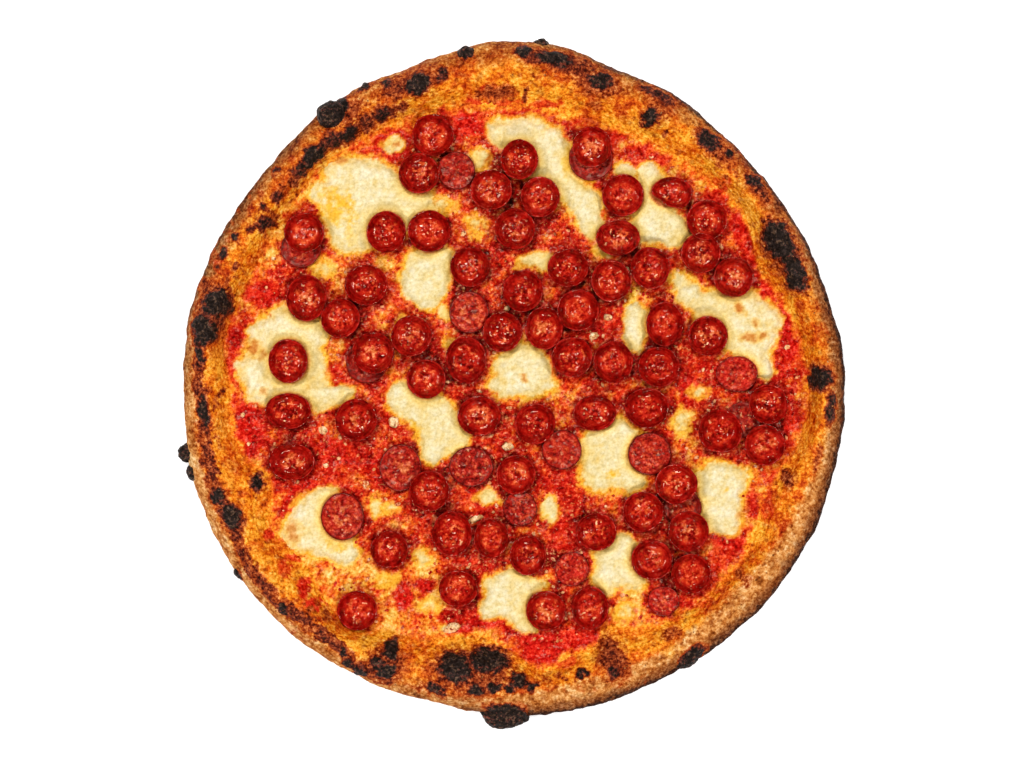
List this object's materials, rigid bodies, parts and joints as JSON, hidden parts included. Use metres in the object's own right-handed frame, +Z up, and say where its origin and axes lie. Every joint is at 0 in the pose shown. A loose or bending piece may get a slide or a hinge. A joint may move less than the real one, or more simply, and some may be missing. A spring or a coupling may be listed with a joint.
{
  "type": "pepperoni pizza",
  "caption": "Whole round pepperoni pizza with a puffed, charred rim, tomato sauce, pools of melted cheese and small cupped pepperoni slices.",
  "frame": {"origin": "middle of the whole object's box in plan, at the height of the flat base it rests on", "axes": "+Z up out of the toppings, +Y towards the side at the top of the picture, +X towards its right"},
  "size_m": [0.334, 0.3456, 0.0253],
  "materials": {
    "crust": "matt baked dough with oil-stained orange slopes, flour and char",
    "sauce": "wet oily tomato sauce",
    "cheese": "melted cheese, soft gloss, stained orange by oil at its edges",
    "pepperoni": "oily cured sausage with a darker crisp edge"
  },
  "bodies": {
    "root": {"crust": "crust", "sauce": "sauce", "cheese_01": "cheese", "cheese_02": "cheese", "cheese_03": "cheese", "cheese_04": "cheese", "cheese_05": "cheese", "cheese_06": "cheese", "cheese_07": "cheese", "cheese_08": "cheese", "cheese_09": "cheese", "cheese_10": "cheese", "cheese_11": "cheese", "cheese_12": "cheese", "cheese_13": "cheese", "cheese_14": "cheese", "pepperoni_01": "pepperoni", "pepperoni_02": "pepperoni", "pepperoni_03": "pepperoni", "pepperoni_04": "pepperoni", "pepperoni_05": "pepperoni", "pepperoni_06": "pepperoni", "pepperoni_07": "pepperoni", "pepperoni_08": "pepperoni", "pepperoni_09": "pepperoni", "pepperoni_10": "pepperoni", "pepperoni_11": "pepperoni", "pepperoni_12": "pepperoni", "pepperoni_13": "pepperoni", "pepperoni_14": "pepperoni", "pepperoni_15": "pepperoni", "pepperoni_16": "pepperoni", "pepperoni_17": "pepperoni", "pepperoni_18": "pepperoni", "pepperoni_19": "pepperoni", "pepperoni_20": "pepperoni", "pepperoni_21": "pepperoni", "pepperoni_22": "pepperoni", "pepperoni_23": "pepperoni", "pepperoni_24": "pepperoni", "pepperoni_25": "pepperoni", "pepperoni_26": "pepperoni", "pepperoni_27": "pepperoni", "pepperoni_28": "pepperoni", "pepperoni_29": "pepperoni", "pepperoni_30": "pepperoni", "pepperoni_31": "pepperoni", "pepperoni_32": "pepperoni", "pepperoni_33": "pepperoni", "pepperoni_34": "pepperoni", "pepperoni_35": "pepperoni", "pepperoni_36": "pepperoni", "pepperoni_37": "pepperoni", "pepperoni_38": "pepperoni", "pepperoni_39": "pepperoni", "pepperoni_40": "pepperoni", "pepperoni_41": "pepperoni", "pepperoni_42": "pepperoni", "pepperoni_43": "pepperoni", "pepperoni_44": "pepperoni"}
  },
  "joints": []
}
